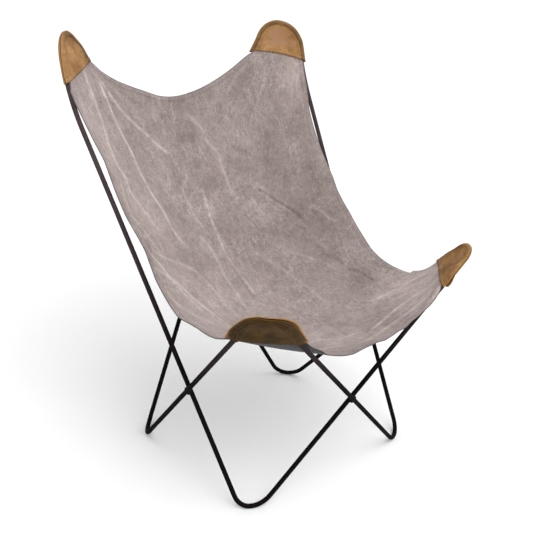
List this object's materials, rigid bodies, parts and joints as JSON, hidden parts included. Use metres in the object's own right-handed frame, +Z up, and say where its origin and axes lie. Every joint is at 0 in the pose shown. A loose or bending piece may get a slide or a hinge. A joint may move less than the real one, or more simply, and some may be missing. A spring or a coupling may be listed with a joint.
{
  "type": "butterfly sling chair",
  "caption": "Low lounge chair with a canvas sling hung by leather corner pockets on a welded frame of bent, crossing iron rods.",
  "frame": {"origin": "on the floor, in the middle of the chair's outline seen from above", "axes": "+Z up, the seat opens towards -Y, +X to the left hand of a person sitting in it"},
  "size_m": [0.7174, 0.723, 0.8489],
  "materials": {
    "iron": "satin black",
    "weld_iron": "satin black, rougher",
    "canvas": "stone washed canvas, grey taupe",
    "leather_face": "tan, waxed and worn",
    "leather_back": "tan, darker outer side"
  },
  "bodies": {
    "root": {"frame_loop_inner": "iron", "frame_loop_outer": "iron", "weld_front": "weld_iron", "weld_back": "weld_iron", "weld_left": "weld_iron", "weld_right": "weld_iron", "sling_canvas": "canvas", "pocket_face_back_left": "leather_face", "pocket_back_back_left": "leather_back", "pocket_face_back_right": "leather_face", "pocket_back_back_right": "leather_back", "pocket_face_front_left": "leather_face", "pocket_back_front_left": "leather_back", "pocket_face_front_right": "leather_face", "pocket_back_front_right": "leather_back"}
  },
  "joints": []
}
